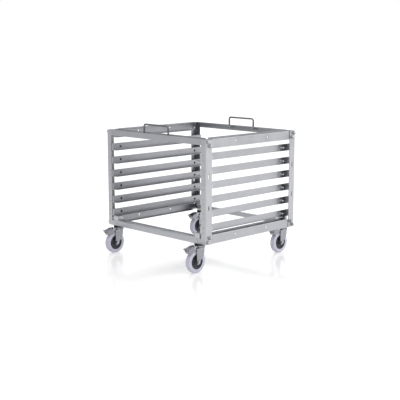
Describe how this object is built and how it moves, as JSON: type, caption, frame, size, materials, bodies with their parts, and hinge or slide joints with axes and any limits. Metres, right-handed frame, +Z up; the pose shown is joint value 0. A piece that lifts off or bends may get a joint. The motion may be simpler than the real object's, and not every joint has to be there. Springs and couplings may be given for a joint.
{
  "type": "sheet pan rack",
  "caption": "Low open steel rack on swivel castors with pairs of tray runners along both sides, bolted corner posts and bar handles on top.",
  "frame": {"origin": "On the floor under the middle of the object's bounding box, pedals and cap nuts included.", "axes": "+Z up, X across the rack between the two sides of runners, Y along the trays; the castors trail and the pedals point to -Y."},
  "size_m": [0.6872, 0.669, 0.63],
  "materials": {
    "frame_steel": "satin stainless sheet",
    "runner_steel": "satin stainless sheet",
    "bracket_steel": "satin stainless sheet",
    "handle_steel": "polished rod",
    "fastener_steel": "polished stainless fasteners",
    "rivet_aluminium": "plain blind rivets",
    "castor_zinc": "bright zinc plated",
    "ball_steel": "polished bearing balls",
    "pedal_zinc": "bright zinc plated",
    "wheel_core": "dark moulded nylon",
    "tyre_rubber": "grey non-marking elastomer"
  },
  "bodies": {
    "frame": {"post_front_left": "frame_steel", "post_front_right": "frame_steel", "post_back_left": "frame_steel", "post_back_right": "frame_steel", "end_rail_top_front": "frame_steel", "end_rail_top_back": "frame_steel", "end_rail_bottom_front": "frame_steel", "end_rail_bottom_back": "frame_steel", "side_rail_top_left": "frame_steel", "side_rail_top_right": "frame_steel", "side_rail_bottom_left": "frame_steel", "side_rail_bottom_right": "frame_steel", "runner_1_left": "runner_steel", "runner_1_right": "runner_steel", "runner_2_left": "runner_steel", "runner_2_right": "runner_steel", "runner_3_left": "runner_steel", "runner_3_right": "runner_steel", "runner_4_left": "runner_steel", "runner_4_right": "runner_steel", "runner_5_left": "runner_steel", "runner_5_right": "runner_steel", "runner_6_left": "runner_steel", "runner_6_right": "runner_steel", "brackets_front_left": "bracket_steel", "brackets_front_right": "bracket_steel", "brackets_back_left": "bracket_steel", "brackets_back_right": "bracket_steel", "handle_front": "handle_steel", "handle_back": "handle_steel", "corner_bolts": "fastener_steel", "runner_bolts": "fastener_steel", "bracket_rivets": "rivet_aluminium", "handle_fixings": "fastener_steel", "socket_screws": "fastener_steel", "castor_sockets": "frame_steel", "castor_heads": "castor_zinc", "swivel_balls": "ball_steel"},
    "fork_front_left": {"castor_front_left_fork": "castor_zinc", "castor_front_left_axle": "castor_zinc"},
    "wheel_front_left": {"castor_front_left_wheel": "wheel_core", "castor_front_left_tyre": "tyre_rubber"},
    "pedal_front_left": {"castor_front_left_pedal": "pedal_zinc"},
    "fork_front_right": {"castor_front_right_fork": "castor_zinc", "castor_front_right_axle": "castor_zinc"},
    "wheel_front_right": {"castor_front_right_wheel": "wheel_core", "castor_front_right_tyre": "tyre_rubber"},
    "pedal_front_right": {"castor_front_right_pedal": "pedal_zinc"},
    "fork_back_left": {"castor_back_left_fork": "castor_zinc", "castor_back_left_axle": "castor_zinc"},
    "wheel_back_left": {"castor_back_left_wheel": "wheel_core", "castor_back_left_tyre": "tyre_rubber"},
    "pedal_back_left": {"castor_back_left_pedal": "pedal_zinc"},
    "fork_back_right": {"castor_back_right_fork": "castor_zinc", "castor_back_right_axle": "castor_zinc"},
    "wheel_back_right": {"castor_back_right_wheel": "wheel_core", "castor_back_right_tyre": "tyre_rubber"},
    "pedal_back_right": {"castor_back_right_pedal": "pedal_zinc"}
  },
  "joints": [
    {"name": "swivel_front_left", "type": "hinge", "parent": "frame", "child": "fork_front_left", "pos_m": [-0.276, -0.25, 0.115], "axis": [0, 0, 1], "continuous": true},
    {"name": "roll_front_left", "type": "hinge", "parent": "fork_front_left", "child": "wheel_front_left", "pos_m": [-0.276, -0.276, 0.05], "axis": [1, 0, 0], "continuous": true},
    {"name": "brake_front_left", "type": "hinge", "parent": "fork_front_left", "child": "pedal_front_left", "pos_m": [-0.276, -0.294, 0.115], "axis": [1, 0, 0], "range_deg": [0, 12]},
    {"name": "swivel_front_right", "type": "hinge", "parent": "frame", "child": "fork_front_right", "pos_m": [0.276, -0.25, 0.115], "axis": [0, 0, 1], "continuous": true},
    {"name": "roll_front_right", "type": "hinge", "parent": "fork_front_right", "child": "wheel_front_right", "pos_m": [0.276, -0.276, 0.05], "axis": [1, 0, 0], "continuous": true},
    {"name": "brake_front_right", "type": "hinge", "parent": "fork_front_right", "child": "pedal_front_right", "pos_m": [0.276, -0.294, 0.115], "axis": [1, 0, 0], "range_deg": [0, 12]},
    {"name": "swivel_back_left", "type": "hinge", "parent": "frame", "child": "fork_back_left", "pos_m": [-0.276, 0.311, 0.115], "axis": [0, 0, 1], "continuous": true},
    {"name": "roll_back_left", "type": "hinge", "parent": "fork_back_left", "child": "wheel_back_left", "pos_m": [-0.276, 0.285, 0.05], "axis": [1, 0, 0], "continuous": true},
    {"name": "brake_back_left", "type": "hinge", "parent": "fork_back_left", "child": "pedal_back_left", "pos_m": [-0.276, 0.267, 0.115], "axis": [1, 0, 0], "range_deg": [0, 12]},
    {"name": "swivel_back_right", "type": "hinge", "parent": "frame", "child": "fork_back_right", "pos_m": [0.276, 0.311, 0.115], "axis": [0, 0, 1], "continuous": true},
    {"name": "roll_back_right", "type": "hinge", "parent": "fork_back_right", "child": "wheel_back_right", "pos_m": [0.276, 0.285, 0.05], "axis": [1, 0, 0], "continuous": true},
    {"name": "brake_back_right", "type": "hinge", "parent": "fork_back_right", "child": "pedal_back_right", "pos_m": [0.276, 0.267, 0.115], "axis": [1, 0, 0], "range_deg": [0, 12]}
  ]
}
